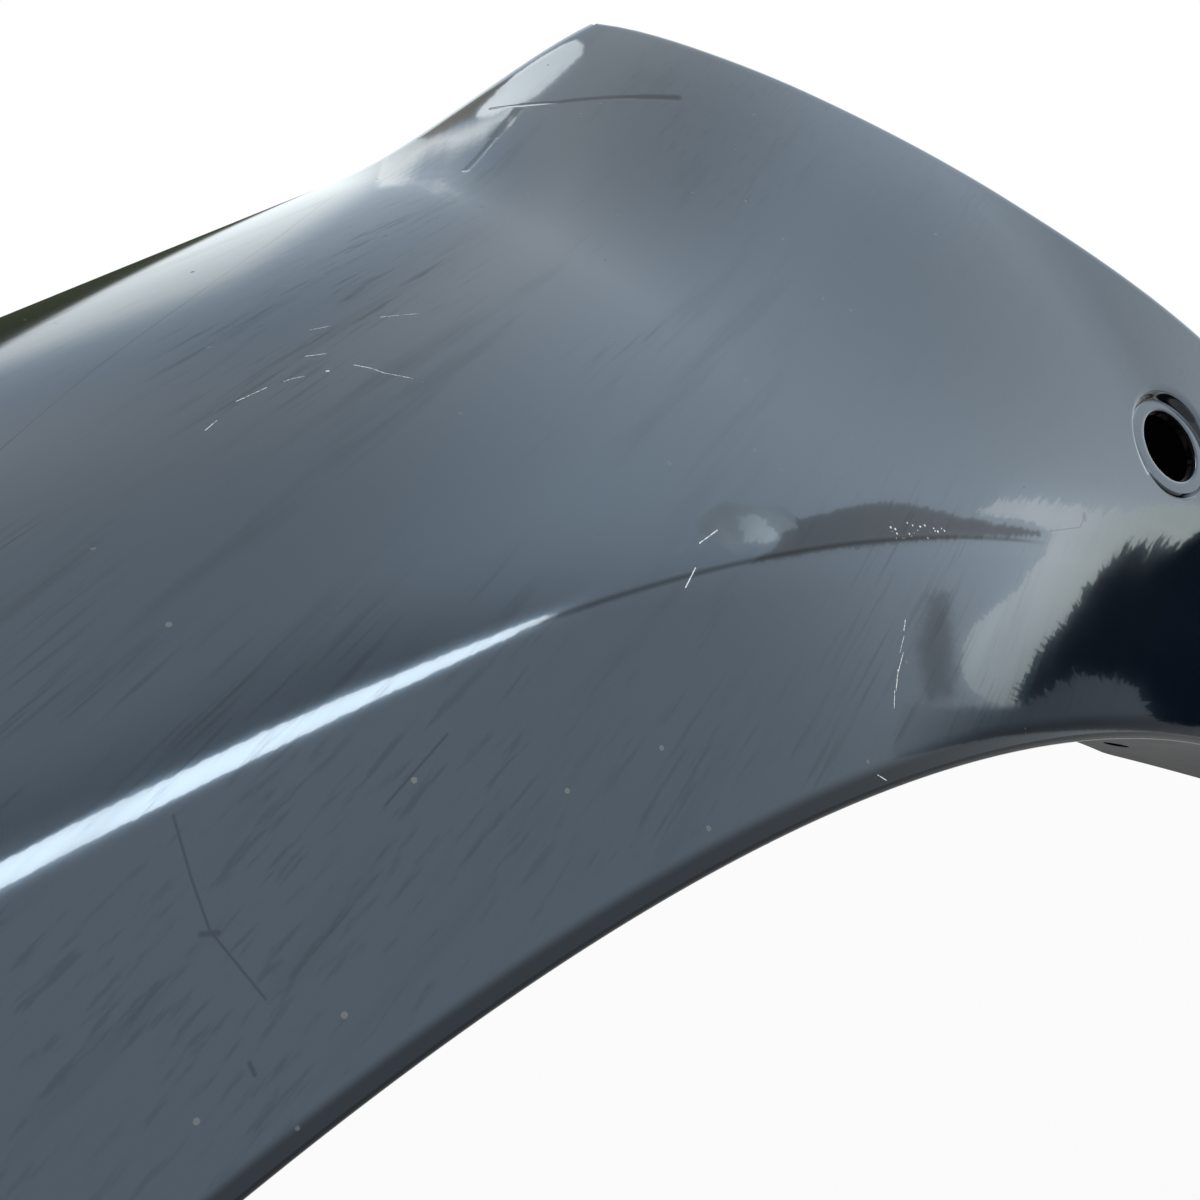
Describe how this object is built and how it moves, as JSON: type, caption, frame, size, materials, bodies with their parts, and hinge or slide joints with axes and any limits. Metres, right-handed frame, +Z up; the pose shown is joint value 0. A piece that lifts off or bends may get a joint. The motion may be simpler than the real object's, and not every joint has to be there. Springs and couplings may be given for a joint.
{
  "type": "car fender",
  "caption": "Pressed steel left front fender with a round wheel arch, a crease following it, a rolled shoulder, folded fixing flanges and a round side lamp seat.",
  "frame": {"origin": "underside of the rear bonnet-side pad, beside its bolt hole, where the panel is bolted to the car", "axes": "+X forward along the car, +Y outboard to the left, +Z up"},
  "size_m": [0.9962, 0.2284, 0.6037],
  "materials": {
    "gloss_paint": "gloss black paint, finely scratched and hazed"
  },
  "bodies": {
    "root": {"fender_panel": "gloss_paint"}
  },
  "joints": []
}
